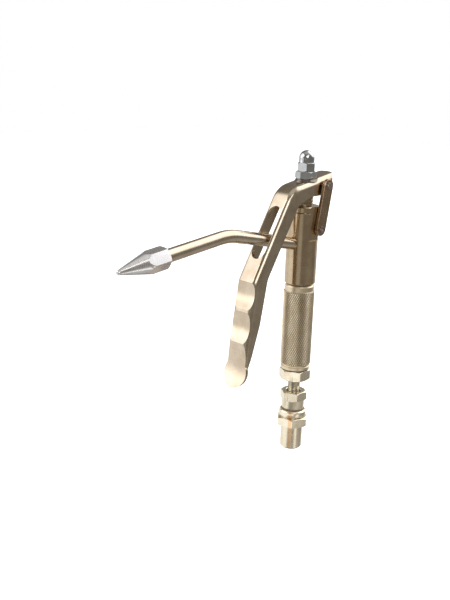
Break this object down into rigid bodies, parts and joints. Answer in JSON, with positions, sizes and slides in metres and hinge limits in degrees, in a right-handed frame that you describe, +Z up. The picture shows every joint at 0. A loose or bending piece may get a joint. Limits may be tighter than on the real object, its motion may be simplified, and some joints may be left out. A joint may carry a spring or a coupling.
{
  "type": "grease gun",
  "caption": "Lever-worked booster grease gun handpiece with a bent rigid spout, a knurled grip and a swivel inlet.",
  "frame": {"origin": "centre of the open end of the inlet sleeve, on the barrel axis", "axes": "+Z up along the barrel towards the acorn nut, -X along the spout and towards the lever grip, +Y to the left link seen from the spout side"},
  "size_m": [0.211, 0.0316, 0.2495],
  "materials": {
    "barrel_plate": "yellow-passivated zinc plate over turned steel",
    "lever_plate": "yellow-passivated zinc plate over pressed sheet",
    "link_plate": "dark bronze-tinted zinc plate",
    "grip_plate": "yellow-passivated zinc plate over a diamond knurl",
    "fitting_plate": "pale iridescent zinc plate",
    "spout_plate": "olive-bronze zinc plate, drawn tube",
    "bright_nut": "bright nickel",
    "nozzle_plate": "bright turned steel",
    "pin_steel": "blackened steel",
    "hard_steel": "ground steel",
    "spring_steel": "drawn wire",
    "seal_rubber": "matt black",
    "washer_fibre": "dark fibre"
  },
  "bodies": {
    "handle": {"pump_body": "barrel_plate", "gland_ring": "barrel_plate", "packing_rings": "seal_rubber", "packing_washer": "hard_steel", "inlet_seat": "hard_steel", "inlet_spring": "spring_steel", "return_spring": "spring_steel", "link_screws": "pin_steel", "spout_tube": "spout_plate", "nozzle": "nozzle_plate", "nozzle_spring": "spring_steel", "grip_sleeve": "grip_plate", "grip_washer": "washer_fibre", "body_washer": "washer_fibre", "swivel_stem": "fitting_plate", "stem_oring": "seal_rubber"},
    "links": {"link_left": "link_plate", "link_right": "link_plate", "lever_pin": "pin_steel"},
    "lever": {"lever": "lever_plate", "push_stud": "hard_steel", "jam_nut": "bright_nut", "acorn_nut": "bright_nut"},
    "plunger": {"plunger": "hard_steel"},
    "swivel": {"swivel_housing": "fitting_plate", "coupling_nut": "fitting_plate", "dust_ring": "seal_rubber", "inlet_sleeve": "fitting_plate", "swivel_balls": "hard_steel"},
    "inlet_check": {"inlet_ball": "hard_steel"},
    "outlet_check": {"nozzle_ball": "hard_steel"}
  },
  "joints": [
    {"name": "link_swing", "type": "hinge", "parent": "handle", "child": "links", "pos_m": [0.0058, 0, 0.1885], "axis": [0, 1, 0], "range_deg": [0, 0.66]},
    {"name": "lever_squeeze", "type": "hinge", "parent": "links", "child": "lever", "pos_m": [0.012, 0, 0.2223], "axis": [0, -1, 0], "range_deg": [0, 12], "stiffness_Nm_per_rad": 1, "springref_deg": -25.78},
    {"name": "plunger_stroke", "type": "slide", "parent": "handle", "child": "plunger", "axis": [0, 0, -1], "range_m": [0, 0.00251], "deforming": ["return_spring"]},
    {"name": "swivel_turn", "type": "hinge", "parent": "handle", "child": "swivel", "pos_m": [0, 0, 0.0396], "axis": [0, 0, 1], "continuous": true},
    {"name": "inlet_check_lift", "type": "slide", "parent": "handle", "child": "inlet_check", "axis": [0, 0, 1], "range_m": [0, 0.0008], "stiffness_N_per_m": 100, "springref_m": -0.0008, "deforming": ["inlet_spring"]},
    {"name": "outlet_check_lift", "type": "slide", "parent": "handle", "child": "outlet_check", "axis": [-0.9914, 0, -0.1311], "range_m": [0, 0.0004], "stiffness_N_per_m": 150, "springref_m": -0.0008}
  ],
  "couplings": [
    {"joint": "link_swing", "follows": "lever_squeeze", "ratio": 0.0505},
    {"joint": "plunger_stroke", "follows": "lever_squeeze", "m_per_rad": 0.0119}
  ]
}
